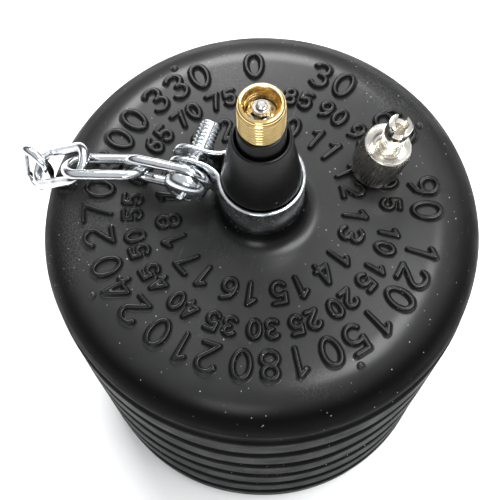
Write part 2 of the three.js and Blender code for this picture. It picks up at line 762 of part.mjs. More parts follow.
// The cap and its seal, leaning on the low side of the rim as on a raised mark
function placeCap(pieces) {
  const lean = rad(CAP_LEAN_DEG);
  const toward = rad(CAP_LEAN_TOWARD_DEG);
  const group = new THREE.Group();
  const axis = new THREE.Vector3(-Math.sin(toward), Math.cos(toward), 0);
  group.quaternion.setFromAxisAngle(axis, lean);
  group.position.set(CAP_PLACE[0], CAP_PLACE[1], FACE + GAP + CAP_CORE_RADIUS * Math.sin(lean));
  group.add(...pieces);
  return group;
}

// Materials
function material(colour, roughness, metalness) {
  return new THREE.MeshStandardMaterial({ color: colour, roughness, metalness });
}
const rubber = material(0x1b1b1c, 0.55, 0);
const softRubber = material(0x101010, 0.6, 0);
const brass = material(0xc89a3c, 0.28, 1);
const zinc = material(0xc9ccd0, 0.25, 1);
const nickel = material(0xc8c2b4, 0.22, 1);
const steel = material(0xd8d8d8, 0.25, 1);
const redSeal = material(0x7a1f18, 0.6, 0);

// A named piece
function mesh(name, geometry, finish) {
  const piece = new THREE.Mesh(geometry, finish);
  piece.name = name;
  return piece;
}

const plug = new THREE.Group();
plug.add(mesh("rubber_body", rubberBody(), rubber));
plug.add(mesh("stem_sleeve", stemSleeve(), softRubber));
plug.add(mesh("valve_stem", valveStem(), brass));
plug.add(mesh("core_plug", corePlug(), nickel));
plug.add(mesh("core_barrel", coreBarrel(), brass));
plug.add(mesh("core_gasket", coreGasket(), redSeal));
plug.add(mesh("core_pin", corePin(), steel));
plug.add(mesh("core_spring", coreSpring(), steel));
plug.add(mesh("core_cup", coreCup(), brass));
plug.add(mesh("core_seal", coreSeal(), softRubber));
plug.add(mesh("clamp_band", clampBand(), zinc));

const screw = mesh("clamp_screw", clampScrew(), zinc);
screw.rotation.x = -Math.PI / 2;
screw.position.set(-SCREW_FROM_AXIS, HEAD_SEAT, SCREW_HEIGHT);
plug.add(screw);

plug.add(...placeLinks(zinc));
plug.add(placeCap([mesh("valve_cap", valveCap(), nickel), mesh("cap_seal", capSeal(), softRubber)]));

export default plug;
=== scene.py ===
# Looks of an inflatable pipe plug: black moulded rubber, a brass tyre valve, a zinc-plated
# clamp, screw and chain, and a nickel-plated valve cap. Metres, +Z up, base on the floor.

import math

import bmesh
import bpy
import numpy as np
from mathutils import Matrix, Quaternion, Vector


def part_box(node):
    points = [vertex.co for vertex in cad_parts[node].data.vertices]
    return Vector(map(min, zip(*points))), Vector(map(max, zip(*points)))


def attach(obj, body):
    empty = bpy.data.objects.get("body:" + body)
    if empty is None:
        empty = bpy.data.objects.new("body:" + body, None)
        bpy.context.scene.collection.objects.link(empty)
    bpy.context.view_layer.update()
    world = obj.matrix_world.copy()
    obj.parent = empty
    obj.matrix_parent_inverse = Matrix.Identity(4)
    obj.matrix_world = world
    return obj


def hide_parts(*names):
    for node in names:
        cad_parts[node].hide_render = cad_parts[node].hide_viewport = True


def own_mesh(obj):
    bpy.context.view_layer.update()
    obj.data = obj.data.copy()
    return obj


# Camera, in metres
CAMERA_PLACE = (0.02456, -0.07005, 0.24523)
CAMERA_LOOK = (-0.1419, 0.3511, -0.9255)
CAMERA_RIGHT = (0.9412, 0.3375, -0.0162)
CAMERA_LENS = 66.76
CAMERA_SENSOR = 36.0

# Rubber body, in metres
BODY_RADIUS = 0.043
BODY_HEIGHT = 0.0855
SHOULDER_REACH = 0.0105
SHOULDER_DROP = 0.010
BASE_EDGE = 0.006
WALL = 0.0065
CROWN = 0.009
FLOOR_THICKNESS = 0.008
GROOVES = 6
GROOVE_PITCH = 0.0127
FIRST_GROOVE = 0.010
GROOVE_WIDTH = 0.005
GROOVE_CUT = 0.0009
GROOVE_SLOPE = 0.0011
CHAMBER_FILLET = 0.006
NUB_COUNT = 4
NUB_PROFILE = [(0, 0.0007), (0.0004, 0.00062), (0.0007, 0.0003), (0.0009, -0.0001), (0, -0.0003)]
NUB_RING = 0.0356
NUB_FIRST = math.radians(49)

# Neck, in metres
NECK_HEIGHT = 0.027
NECK_TOP_RADIUS = 0.00515
NECK_CONE_RADIUS = 0.00715
NECK_SEAT_RADIUS = 0.0068
NECK_FILLET = 0.0044
NECK_BORE = 0.0044

# Raised figures on the face, in metres
STROKE = 0.00105
MARK_RISE = 0.0009
MARK_FOOT = 0.00028
MARK_CELL = 0.00014
OUTER_RING = 0.0312
OUTER_HEIGHT = 0.0054
OUTER_STEP = 30
INNER_RING = 0.0178
INNER_HEIGHT = 0.0042
INNER_COUNT = 12
MIDDLE_RING = 0.0245
MIDDLE_HEIGHT = 0.0034
MIDDLE_COUNT = 20

# Clamp, in metres
BAND_INNER = 0.0071
BAND_THICKNESS = 0.0008
BAND_EDGE = 0.00022
BAND_WIDTH = 0.0085
BAND_LIFT = 0.0046
EAR_GAP = 0.0018
EAR_BEYOND = 0.0046
SCREW_X = 0.013
MOUTH_DEG = 24

# Screw, in metres
SCREW_RADIUS = 0.00205
SCREW_LENGTH = 0.0132
SCREW_PITCH = 0.0008
HEAD_RADIUS = 0.004
HEAD_HEIGHT = 0.0026
HEAD_RIM = 0.0007
RECESS_SPAN = 0.0042
RECESS_DEPTH = 0.0016
RECESS_HALF_WIDTH = 0.00045
RECESS_TURNS = (25, 115)
LINK_GAP = 0.0003

# Chain, in metres
WIRE_RADIUS = 0.001
LINK_LENGTH = 0.0176
LINK_WIDTH = 0.0088

# Swelling where a link's wire is welded, in shares of its radius and in steps along the wire
WELD_RISE = 0.035
WELD_PLACE = 60
WELD_REACH = 3.0

# Valve, in metres
MOUTH_HEIGHT = 0.0374
THREAD_RADIUS = 0.0039
THREAD_LENGTH = 0.007
THREAD_PITCH = 0.0008
SHANK_RADIUS = 0.0029
SLEEVE_RADIUS = 0.0041
SLEEVE_BORE = 0.0032
MOUTH_BORE = 0.00295
CORE_BORE = 0.0027
CORE_BORE_DEPTH = 0.0074
AIR_BORE = 0.002
STEM_FOOT = 0.0046

# Strength of the room's light, from the horizon up
WORLD_RISE = {"From Min": 0.15, "From Max": 0.6, "To Min": 0.04, "To Max": 0.75}

# Lamps: name, place and width in metres, power in watts
LAMP_TARGET = (0, 0, 0.08)
LAMPS = [
    ("window", (-0.25, 0.45, 0.55), 0.45, 7.0),
    ("ceiling", (0.25, 0.1, 0.8), 0.5, 6.0),
    ("front", (0.1, -0.7, 0.5), 0.3, 1.6),
]

# Valve cap, in metres and radians
CAP_CORE = 0.0045
CAP_HEIGHT = 0.0093
CAP_SKIRT = 0.0014
CAP_BORE = 0.00405
CAP_BORE_DEPTH = 0.0068
CAP_PLACE = (0.0177, 0.0144)
CAP_LEAN = math.radians(10.4)
CAP_TOWARD = math.radians(17)
KEY_LENGTH = 0.0076
KEY_RADIUS = 0.0022
KEY_WAIST = 0.00175
KEY_BORE = 0.00125
KEY_SLOT_WIDTH = 0.0017
KEY_SLOT_DEPTH = 0.0019
KEY_SLOT = math.radians(6)
KNURL_TEETH = 48
TOOTH_STEPS = 8
TOOTH_HEIGHT = 0.0004

FACE = BODY_HEIGHT
MOUTH = FACE + MOUTH_HEIGHT
SCREW_Z = FACE + BAND_LIFT + BAND_WIDTH / 2
SCREW_SEAT = -(EAR_GAP / 2 + BAND_THICKNESS + 2 * LINK_GAP + 2 * WIRE_RADIUS)


# Mesh helpers


def make(name, vertices, faces, body, smooth_deg=40):
    mesh = bpy.data.meshes.new(name)
    mesh.from_pydata([tuple(v) for v in vertices], [], [tuple(f) for f in faces])
    mesh.validate()
    obj = bpy.data.objects.new(name, mesh)
    bpy.context.collection.objects.link(obj)
    soften(obj, smooth_deg)
    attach(obj, body)
    return obj


def soften(obj, smooth_deg):
    """Smooth shading, with the edges sharper than the angle kept sharp."""
    mesh = obj.data
    mesh.polygons.foreach_set("use_smooth", [True] * len(mesh.polygons))
    mesh.set_sharp_from_angle(angle=math.radians(smooth_deg))
    mesh.update()


def paint(obj, material):
    obj.data.materials.clear()
    obj.data.materials.append(material)


def grid_faces(rows, columns, wrap_rows=False, wrap_columns=True):
    faces = []
    for i in range(rows if wrap_rows else rows - 1):
        for j in range(columns if wrap_columns else columns - 1):
            a = i * columns + j
            b = i * columns + (j + 1) % columns
            c = ((i + 1) % rows) * columns + (j + 1) % columns
            d = ((i + 1) % rows) * columns + j
            faces.append((a, b, c, d))
    return faces


def turned(name, profile, steps, body, closed=True, smooth_deg=40):
    """A profile of (radius, height) turned round Z. A closed one is a ring away from the axis."""
    profile = np.array(profile, float)
    angles = np.linspace(0, 2 * math.pi, steps, endpoint=False)
    vertices = np.stack(
        [
            np.outer(profile[:, 0], np.cos(angles)),
            np.outer(profile[:, 0], np.sin(angles)),
            np.repeat(profile[:, 1][:, None], steps, axis=1),
        ],
        axis=-1,
    ).reshape(-1, 3)
    faces = grid_faces(len(profile), steps, wrap_rows=closed)
    obj = make(name, vertices, faces, body, smooth_deg)
    weld(obj)
    soften(obj, smooth_deg)
    return obj


def weld(obj, distance=1e-6):
    """Joins points that lie together, as on the axis, and turns the faces outwards."""
    work = bmesh.new()
    work.from_mesh(obj.data)
    bmesh.ops.remove_doubles(work, verts=work.verts, dist=distance)
    bmesh.ops.dissolve_degenerate(work, edges=work.edges, dist=distance / 10)
    bmesh.ops.recalc_face_normals(work, faces=work.faces)
    work.to_mesh(obj.data)
    work.free()


def arc(cr, cz, rr, rz, start, end, steps):
    angles = np.radians(np.linspace(start, end, steps + 1))
    return [(cr + rr * math.cos(a), cz + rz * math.sin(a)) for a in angles]


def smoothed(points, rounds):
    """Rounds the corners of a line by cutting them, a quarter at a time."""
    points = [np.array(p, float) for p in points]
    for _ in range(rounds):
        cut = [points[0]]
        for a, b in zip(points, points[1:]):
            cut += [0.75 * a + 0.25 * b, 0.25 * a + 0.75 * b]
        points = cut + [points[-1]]
    return [tuple(p) for p in points]


def place(obj, matrix):
    obj.data.transform(matrix)
    obj.data.update()


# Rubber body


def side_profile():
    """Ribbed side from the shoulder down to the base."""
    points = []
    for i in range(GROOVES):
        middle = FACE - FIRST_GROOVE - i * GROOVE_PITCH
        half = GROOVE_WIDTH / 2
        inner = BODY_RADIUS - GROOVE_CUT
        if i:
            points.append((BODY_RADIUS, middle + half + GROOVE_SLOPE))
            points.append((BODY_RADIUS, middle + half))
        points.append((inner, middle + half - GROOVE_SLOPE))
        points.append((inner, middle - half + GROOVE_SLOPE))
        points.append((BODY_RADIUS, middle - half))
        points.append((BODY_RADIUS, middle - half - GROOVE_SLOPE))
    return points


def body_profile():
    lip = FIRST_GROOVE - GROOVE_WIDTH / 2
    lip_deg = math.degrees(math.asin(1 - lip / SHOULDER_DROP))
    neck_top = FACE + NECK_HEIGHT
    band_top = FACE + BAND_LIFT + BAND_WIDTH
    seat = NECK_SEAT_RADIUS
    shoulder = BODY_RADIUS - SHOULDER_REACH
    neck = [
        (NECK_BORE, neck_top - 0.0006),
        (NECK_BORE + 0.00012, neck_top - 0.00012),
        (NECK_BORE + 0.00025, neck_top),
        (NECK_TOP_RADIUS - 0.00028, neck_top),
        (NECK_TOP_RADIUS - 0.0001, neck_top - 0.00008),
        (NECK_TOP_RADIUS, neck_top - 0.0003),
        (NECK_CONE_RADIUS, band_top + 0.0006),
        (seat, band_top + 0.0003),
    ]
    neck_foot = arc(seat + NECK_FILLET, FACE + NECK_FILLET, NECK_FILLET, NECK_FILLET, 180, 270, 14)
    face = [(r, FACE) for r in np.linspace(seat + NECK_FILLET, shoulder, 60)[1:-1]]
    round_edge = arc(shoulder, FACE - SHOULDER_DROP, SHOULDER_REACH, SHOULDER_DROP, 90, lip_deg, 28)
    side = smoothed([round_edge[-1]] + side_profile(), 2)[1:]
    edge = arc(BODY_RADIUS - BASE_EDGE, BASE_EDGE, BASE_EDGE, BASE_EDGE, 0, -90, 10)
    chamber = BODY_RADIUS - WALL
    ceiling = FACE - CROWN
    fillet = CHAMBER_FILLET
    inside = [
        (0, 0),
        (0, FLOOR_THICKNESS),
        *arc(chamber - fillet, FLOOR_THICKNESS + fillet, fillet, fillet, -90, 0, 5),
        *arc(chamber - fillet, ceiling - fillet, fillet, fillet, 0, 90, 5),
        (NECK_BORE, ceiling),
    ]
    return neck + neck_foot + face + round_edge + side + edge + inside


def face_height(radius):
    """Height of the face, and of the shoulder where the face ends."""
    past = max(radius - BODY_RADIUS + SHOULDER_REACH, 0) / SHOULDER_REACH
    return FACE - SHOULDER_DROP * (1 - math.sqrt(max(1 - past * past, 0)))


def rubber_body(material):
    obj = turned("plug_body", body_profile(), 288, "plug", smooth_deg=50)
    waviness(obj)
    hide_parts("rubber_body")
    paint(obj, material)
    for i in range(NUB_COUNT):
        angle = NUB_FIRST + i * 2 * math.pi / NUB_COUNT
        nub = turned(f"nub_{i + 1}", NUB_PROFILE, 20, "plug", smooth_deg=80)
        spot = (NUB_RING * math.cos(angle), NUB_RING * math.sin(angle), face_height(NUB_RING))
        place(nub, Matrix.Translation(spot))
        paint(nub, material)
    return obj


def waviness(obj):
    """Soft unevenness of the moulded face and side, a fraction of a millimetre deep."""
    mesh = obj.data
    points = np.empty(len(mesh.vertices) * 3)
    mesh.vertices.foreach_get("co", points)
    points = points.reshape(-1, 3)
    radius = np.hypot(points[:, 0], points[:, 1])
    angle = np.arctan2(points[:, 1], points[:, 0])
    wave = (
        np.sin(3 * angle + 0.8)
        + 0.7 * np.sin(5 * angle + points[:, 2] * 90)
        + 0.5 * np.sin(9 * angle - points[:, 2] * 160 + 2)
    )
    side = (radius > BODY_RADIUS - 0.003) & (points[:, 2] > 0.004) & (points[:, 2] < FACE - 0.006)
    scale = np.where(side, 1 - 0.00008 * wave / BODY_RADIUS, 1)
    points[:, :2] *= scale[:, None]
    mesh.vertices.foreach_set("co", points.ravel())
    mesh.update()


# Raised figures: strokes in a box 0.62 wide and 1 high


def curve(cx, cy, rx, ry, start, end, steps=14):
    return arc(cx, cy, rx, ry, start, end, steps)


FIGURES = {
    "0": [curve(0.31, 0.5, 0.29, 0.48, 0, 360, 28)],
    "1": [[(0.1, 0.78), (0.33, 0.98), (0.33, 0.02)]],
    "2": [curve(0.31, 0.7, 0.28, 0.28, 165, -35) + [(0.02, 0.02), (0.6, 0.02)]],
    "3": [
        curve(0.29, 0.745, 0.26, 0.235, 150, -90),
        curve(0.29, 0.265, 0.3, 0.245, 90, -150),
    ],
    "4": [[(0.46, 0.02), (0.46, 0.98), (0.02, 0.28), (0.62, 0.28)]],
    "5": [[(0.56, 0.98), (0.12, 0.98), (0.07, 0.56)] + curve(0.3, 0.33, 0.3, 0.31, 125, -150)],
    "6": [
        curve(0.31, 0.31, 0.28, 0.29, 0, 360, 26),
        [(0.03, 0.34), (0.06, 0.58), (0.18, 0.82), (0.46, 0.97)],
    ],
    "7": [[(0.03, 0.98), (0.59, 0.98), (0.24, 0.02)]],
    "8": [
        curve(0.31, 0.745, 0.24, 0.235, 0, 360, 24),
        curve(0.31, 0.265, 0.29, 0.245, 0, 360, 26),
    ],
    "9": [
        curve(0.31, 0.69, 0.28, 0.29, 0, 360, 26),
        [(0.59, 0.66), (0.56, 0.42), (0.44, 0.18), (0.16, 0.03)],
    ],
}
FIGURE_WIDTH = 0.64
FIGURE_SPACE = 0.3


def segments_of(text, height):
    """Line segments of a number, centred on its middle, in metres."""
    step = (FIGURE_WIDTH + FIGURE_SPACE) * height
    left = -(len(text) * step - FIGURE_SPACE * height) / 2
    segments = []
    for k, figure in enumerate(text):
        for line in FIGURES[figure]:
            points = [(left + k * step + x * height, (y - 0.5) * height) for x, y in line]
            segments += list(zip(points, points[1:]))
    return np.array(segments)


def raised_height(x, y, segments):
    """Height of the rubber above the face, round the strokes."""
    start = segments[:, 0]
    along = segments[:, 1] - start
    length = (along**2).sum(axis=1)
    dx = x[:, None] - start[:, 0]
    dy = y[:, None] - start[:, 1]
    t = np.clip((dx * along[:, 0] + dy * along[:, 1]) / length, 0, 1)
    distance = np.sqrt(((dx - t * along[:, 0]) ** 2 + (dy - t * along[:, 1]) ** 2).min(axis=1))
    t = np.clip((distance - STROKE * 0.22) / (STROKE * 0.28 + MARK_FOOT), 0, 1)
    return MARK_RISE * (1 - t * t * (3 - 2 * t)), t < 1


def raised_number(text, height, ring, azimuth):
    """Points and faces of one number, bent to its ring, with the tops of the figures outwards."""
    segments = segments_of(text, height)
    margin = STROKE + MARK_FOOT
    half_width = abs(segments[..., 0]).max() + margin
    half_height = height / 2 + margin
    columns = int(2 * half_width / MARK_CELL)
    rows = int(2 * half_height / MARK_CELL)
    xs = np.linspace(-half_width, half_width, columns)
    ys = np.linspace(-half_height, half_height, rows)
    grid_x, grid_y = (g.ravel() for g in np.meshgrid(xs, ys))
    height_above, inside = raised_height(grid_x, grid_y, segments)
    angle = azimuth - grid_x / ring
    radius = ring + grid_y
    points = np.stack(
        [radius * np.cos(angle), radius * np.sin(angle), FACE - 0.00003 + height_above], axis=-1
    )
    faces = np.array(grid_faces(rows, columns, wrap_columns=False))
    faces = faces[inside[faces].any(axis=1)]
    used, faces = np.unique(faces, return_inverse=True)
    return points[used], faces.reshape(-1, 4)


def raised_ring(name, numbers, height, ring, first_deg, material, span=360):
    vertices, faces, count = [], [], 0
    for i, text in enumerate(numbers):
        azimuth = math.radians(first_deg - span * i / len(numbers))
        points, quads = raised_number(text, height, ring, azimuth)
        vertices.append(points)
        faces.append(quads + count)
        count += len(points)
    obj = make(name, np.concatenate(vertices), np.concatenate(faces), "plug", smooth_deg=180)
    paint(obj, material)
    return obj


# Clamp


def bend(a, b, c, steps):
    a, b, c = (np.array(p) for p in (a, b, c))
    ts = np.linspace(0, 1, steps + 1)
    return [tuple((1 - t) ** 2 * a + 2 * t * (1 - t) * b + t * t * c) for t in ts]


def band_line():
    radius = BAND_INNER + BAND_THICKNESS / 2
    offset = EAR_GAP / 2 + BAND_THICKNESS / 2
    tip = -SCREW_X - EAR_BEYOND
    flat_end = -SCREW_X + SCREW_RADIUS + LINK_GAP
    root_deg = 180 - MOUTH_DEG
    ring = arc(0, 0, radius, radius, root_deg, -root_deg, 120)
    mouth = math.radians(MOUTH_DEG)
    corner = (-radius * math.cos(mouth / 2), radius * math.sin(mouth * 0.65))
    ear = [(x, offset) for x in np.linspace(tip, flat_end, 26)]
    ear += bend((flat_end + BAND_THICKNESS, offset * 1.1), corner, ring[0], 14)
    return ear + ring[1:-1] + [(x, -y) for x, y in reversed(ear)]


def clamp_band(material):
    line = np.array(band_line())
    ahead = np.roll(line, -1, axis=0)
    behind = np.roll(line, 1, axis=0)
    ahead[-1], behind[0] = line[-1], line[0]
    tangent = ahead - behind
    tangent /= np.linalg.norm(tangent, axis=1)[:, None]
    normal = np.stack([-tangent[:, 1], tangent[:, 0]], axis=-1)
    half = BAND_WIDTH / 2
    centre_x = -SCREW_X - EAR_BEYOND + half
    past = np.clip(centre_x - line[:, 0], 0, half * 0.9995)
    reach = np.sqrt(half**2 - past**2)
    vertices = []
    section = section_of(BAND_THICKNESS / 2, BAND_EDGE)
    for (x, y), (nx, ny), h in zip(line, normal, reach):
        for across, up, side in section:
            height = side * max(h - BAND_EDGE, 0.00001) + up
            vertices.append((x + nx * across, y + ny * across, SCREW_Z + height))
    columns = len(section)
    faces = grid_faces(len(line), columns)
    faces.append(tuple(range(columns)))
    faces.append(tuple(reversed(range((len(line) - 1) * columns, len(line) * columns))))
    obj = make("clamp", vertices, faces, "plug", smooth_deg=50)
    weld(obj, 1e-7)
    drill(obj)
    soften(obj, 35)
    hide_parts("clamp_band")
    paint(obj, material)
    return obj


def section_of(half_thickness, round_off):
    """Section of the strip: a flat bar with rounded edges, as (across, up, side)."""
    section = []
    for side in (1, -1):
        start = 0 if side == 1 else 180
        for a in np.radians(np.linspace(start, start + 180, 9)):
            section.append((half_thickness * math.cos(a), round_off * math.sin(a), side))
    return section


def drill(band):
    """Hole for the screw through both ears."""
    radius, reach = SCREW_RADIUS + LINK_GAP, 0.006
    profile = [(0, -reach), (radius, -reach), (radius, reach), (0, reach)]
    hole = turned("drill", profile, 48, "plug")
    place(hole, Matrix.Translation((-SCREW_X, 0, SCREW_Z)) @ Matrix.Rotation(math.pi / 2, 4, "X"))
    cut_away(band, hole)


def cut_away(obj, cutter):
    """Cuts one closed piece out of another, and removes it."""
    cut = obj.modifiers.new("cut", "BOOLEAN")
    cut.operation = "DIFFERENCE"
    cut.object = cutter
    cut.solver = "EXACT"
    apply_modifiers(obj)
    bpy.data.objects.remove(cutter, do_unlink=True)


def apply_modifiers(obj):
    graph = bpy.context.evaluated_depsgraph_get()
    mesh = bpy.data.meshes.new_from_object(obj.evaluated_get(graph))
    obj.modifiers.clear()
    obj.data = mesh


# Threads


def thread(name, root, crest, low, high, pitch, body, steps=64, cap=True, phase=0.0):
    """A threaded rod along Z: a turned surface whose radius follows a helix, faded at the ends."""
    rows = int((high - low) / (pitch / 12)) + 1
    heights = np.linspace(low, high, rows)
    angles = np.linspace(0, 2 * math.pi, steps, endpoint=False)
    grid_z, grid_a = np.meshgrid(heights, angles, indexing="ij")
    turn = (grid_z / pitch - grid_a / (2 * math.pi) + phase) % 1.0
    tooth = 1 - np.abs(2 * turn - 1)
    tooth = np.clip((tooth - 0.12) / 0.72, 0, 1)
    fade = np.clip((high - grid_z) / (pitch * 0.9), 0, 1)
    fade = fade * np.clip((grid_z - low) / pitch + 0.3, 0, 1)
    radius = root + (crest - root) * tooth * fade
    points = np.stack([radius * np.cos(grid_a), radius * np.sin(grid_a), grid_z], axis=-1)
    vertices = points.reshape(-1, 3).tolist()
    faces = grid_faces(rows, steps)
    if cap:
        faces.append(tuple(reversed(range(steps))))
        faces.append(tuple(range((rows - 1) * steps, rows * steps)))
    return make(name, vertices, faces, body, smooth_deg=60)


# Screw


def clamp_screw(material):
    rim = 0.00014
    dome = arc(0, -HEAD_RIM, HEAD_RADIUS - rim, HEAD_HEIGHT - HEAD_RIM, -90, -4, 26)
    head = dome + [
        (HEAD_RADIUS, -HEAD_RIM + rim),
        (HEAD_RADIUS, -rim),
        (HEAD_RADIUS - rim, 0),
        (SCREW_RADIUS * 0.9, 0),
        (SCREW_RADIUS * 0.9, 0.001),
        (0, 0.001),
    ]
    obj = turned("screw_head", head, 96, "plug", closed=False, smooth_deg=35)
    cross_recess(obj)
    shank = thread(
        "screw_shank", SCREW_RADIUS * 0.8, SCREW_RADIUS, 0, SCREW_LENGTH, SCREW_PITCH, "plug"
    )
    matrix = Matrix.Translation((-SCREW_X, SCREW_SEAT, SCREW_Z))
    matrix = matrix @ Matrix.Rotation(-math.pi / 2, 4, "X")
    for piece in (obj, shank):
        place(piece, matrix)
        paint(piece, material)
    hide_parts("clamp_screw")
    return obj


def cross_recess(head):
    """Cross recess with sloping ends, cut into the top of the head."""
    mouth, foot, above = RECESS_SPAN / 2, RECESS_SPAN * 0.22, -0.0001
    outline = [(-mouth, above), (mouth, above), (foot, RECESS_DEPTH), (-foot, RECESS_DEPTH)]
    faces = [(3, 2, 1, 0), (4, 5, 6, 7), (0, 1, 5, 4), (1, 2, 6, 5), (2, 3, 7, 6), (3, 0, 4, 7)]
    for k, turn in enumerate(RECESS_TURNS):
        vertices = []
        for y in (-RECESS_HALF_WIDTH, RECESS_HALF_WIDTH):
            vertices += [(x, y * (1 if z < 0 else 0.7), z - HEAD_HEIGHT) for x, z in outline]
        cutter = make(f"recess_{k}", vertices, faces, "plug")
        weld(cutter)
        place(cutter, Matrix.Rotation(math.radians(turn), 4, "Z"))
        cut_away(head, cutter)
    soften(head, 35)


# Chain


def link_line(steps):
    radius = LINK_WIDTH / 2 - WIRE_RADIUS
    straight = LINK_LENGTH - LINK_WIDTH
    half = math.pi * radius
    points = []
    for i in range(steps):
        way = i / steps * 2 * (half + straight)
        side = 1 if way < half + straight else -1
        along = way if side == 1 else way - half - straight
        if along < half:
            x = straight / 2 + radius * math.sin(along / radius)
            y = -radius * math.cos(along / radius)
        else:
            x = straight / 2 - (along - half)
            y = radius
        points.append((side * x, side * y))
    return np.array(points)


def frame_of(node):
    """Place and directions of a link, read from the CAD node's own points."""
    points = np.array([v.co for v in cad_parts[node].data.vertices])
    centre = points.mean(axis=0)
    _, _, axes = np.linalg.svd(points - centre, full_matrices=False)
    return centre, axes


def chain_link(index, material):
    node = f"chain_link_{index}"
    centre, (along, across, _) = frame_of(node)
    normal = np.cross(along, across)
    line = link_line(160)
    ahead = np.roll(line, -1, axis=0)
    behind = np.roll(line, 1, axis=0)
    tangent = ahead - behind
    tangent /= np.linalg.norm(tangent, axis=1)[:, None]
    out = np.stack([tangent[:, 1], -tangent[:, 0]], axis=-1)
    vertices = []
    steps = 20
    for i, ((x, y), (ox, oy)) in enumerate(zip(line, out)):
        weld_bulge = 1 + WELD_RISE * math.exp(-(((i - WELD_PLACE) / WELD_REACH) ** 2))
        flat = 1 - 0.03 * abs(x) / (LINK_LENGTH / 2)
        for j in range(steps):
            a = 2 * math.pi * j / steps
            r = WIRE_RADIUS * weld_bulge * flat
            px, py, pz = x + ox * r * math.cos(a), y + oy * r * math.cos(a), r * math.sin(a)
            vertices.append(centre + along * px + across * py + normal * pz)
    faces = grid_faces(len(line), steps, wrap_rows=True)
    obj = make(f"link_{index}_wire", vertices, faces, f"link_{index}", 80)
    weld(obj)
    soften(obj, 80)
    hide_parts(node)
    paint(obj, material)
    return obj


# Valve


def valve_stem(brass):
    top = MOUTH
    bottom = MOUTH - THREAD_LENGTH
    body_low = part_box("valve_stem")[0][2]
    outer = thread(
        "valve_thread",
        THREAD_RADIUS - 0.00042,
        THREAD_RADIUS,
        bottom,
        top - 0.0008,
        THREAD_PITCH,
        "plug",
        steps=128,
        cap=False,
        phase=0.35,
    )
    neck = turned(
        "valve_mouth",
        [
            (THREAD_RADIUS - 0.0004, top - 0.0009),
            (THREAD_RADIUS - 0.00012, top - 0.00062),
            (THREAD_RADIUS - 0.00012, top - 0.0004),
            (THREAD_RADIUS - 0.0002, top - 0.00022),
            (THREAD_RADIUS - 0.00036, top - 0.00006),
            (THREAD_RADIUS - 0.0005, top),
            (0.00312, top),
            (MOUTH_BORE, top - 0.00016),
            (0.00284, top - 0.0006),
            (0.00272, top - 0.0009),
            (CORE_BORE, top - CORE_BORE_DEPTH),
            (AIR_BORE, top - 0.0086),
            (AIR_BORE, body_low),
            (SHANK_RADIUS, body_low),
            (SHANK_RADIUS, body_low + 0.0015),
            (STEM_FOOT, body_low + 0.0015),
            (STEM_FOOT, body_low + 0.0027),
            (SHANK_RADIUS, body_low + 0.0027),
            (SHANK_RADIUS, bottom),
            (THREAD_RADIUS - 0.0005, bottom),
            (THREAD_RADIUS - 0.0004, bottom + 0.0003),
        ],
        128,
        "plug",
        smooth_deg=30,
    )
    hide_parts("valve_stem")
    for piece in (outer, neck):
        paint(piece, brass)


def inner_thread(brass):
    """Thread in the mouth of the stem, above the core."""
    rows, steps, pitch = 40, 96, 0.0007
    high, low = MOUTH - 0.0008, MOUTH - 0.0031
    heights = np.linspace(low, high, rows)
    angles = np.linspace(0, 2 * math.pi, steps, endpoint=False)
    grid_z, grid_a = np.meshgrid(heights, angles, indexing="ij")
    turn = (grid_z / pitch - grid_a / (2 * math.pi)) % 1.0
    tooth = 1 - np.abs(2 * turn - 1)
    radius = 0.00272 - 0.00014 * np.clip(tooth * 1.3 - 0.1, 0, 1)
    points = np.stack([radius * np.cos(grid_a), radius * np.sin(grid_a), grid_z], axis=-1)
    faces = grid_faces(rows, steps)
    obj = make("valve_bore_thread", points.reshape(-1, 3).tolist(), faces, "plug", 60)
    paint(obj, brass)


def core_spring(material):
    """The core's spring, from the CAD node's own points."""
    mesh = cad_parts["core_spring"].data
    points = [tuple(v.co) for v in mesh.vertices]
    coil = make("spring_coil", points, [tuple(f.vertices) for f in mesh.polygons], "plug", 60)
    weld(coil)
    soften(coil, 60)
    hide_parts("core_spring")
    paint(coil, material)
    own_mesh(coil)


def stem_sleeve(material):
    low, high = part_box("stem_sleeve")[0][2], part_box("stem_sleeve")[1][2]
    profile = [
        (SLEEVE_BORE, high - 0.0002),
        (0.0033, high),
        (SLEEVE_RADIUS - 0.0003, high),
        (SLEEVE_RADIUS - 0.0001, high - 0.0001),
        (SLEEVE_RADIUS, high - 0.0004),
        (SLEEVE_RADIUS, low + 0.0028),
        (SLEEVE_RADIUS + 0.001, low + 0.0026),
        (0.0095, low + 0.0021),
        (0.01, low + 0.0005),
        (0.0095, low),
        (SLEEVE_BORE, low),
    ]
    obj = turned("sleeve", profile, 96, "plug", smooth_deg=50)
    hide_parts("stem_sleeve")
    paint(obj, material)


# Valve cap, made upright on the origin and then set where the CAD cap stands


def cap_matrix():
    axis = Vector((-math.sin(CAP_TOWARD), math.cos(CAP_TOWARD), 0))
    height = FACE + LINK_GAP + CAP_CORE * math.sin(CAP_LEAN)
    turn = Quaternion(axis, CAP_LEAN).to_matrix().to_4x4()
    return Matrix.Translation((*CAP_PLACE, height)) @ turn


def cap_knurl():
    """Straight knurl: pointed teeth with sloping ends."""
    heights = [CAP_SKIRT - 0.0001, CAP_SKIRT + 0.0004, CAP_HEIGHT - 0.0007, CAP_HEIGHT - 0.0001]
    depths = [0.0, 1.0, 1.0, 0.15]
    columns = KNURL_TEETH * TOOTH_STEPS
    vertices = []
    for z, depth in zip(heights, depths):
        for i in range(columns):
            a = 2 * math.pi * i / columns
            tooth = 1 - abs(2 * ((i / TOOTH_STEPS) % 1) - 1)
            r = CAP_CORE - 0.0001 + TOOTH_HEIGHT * depth * tooth
            vertices.append((r * math.cos(a), r * math.sin(a), z))
    return make("cap_knurl", vertices, grid_faces(4, columns), "plug", smooth_deg=32)


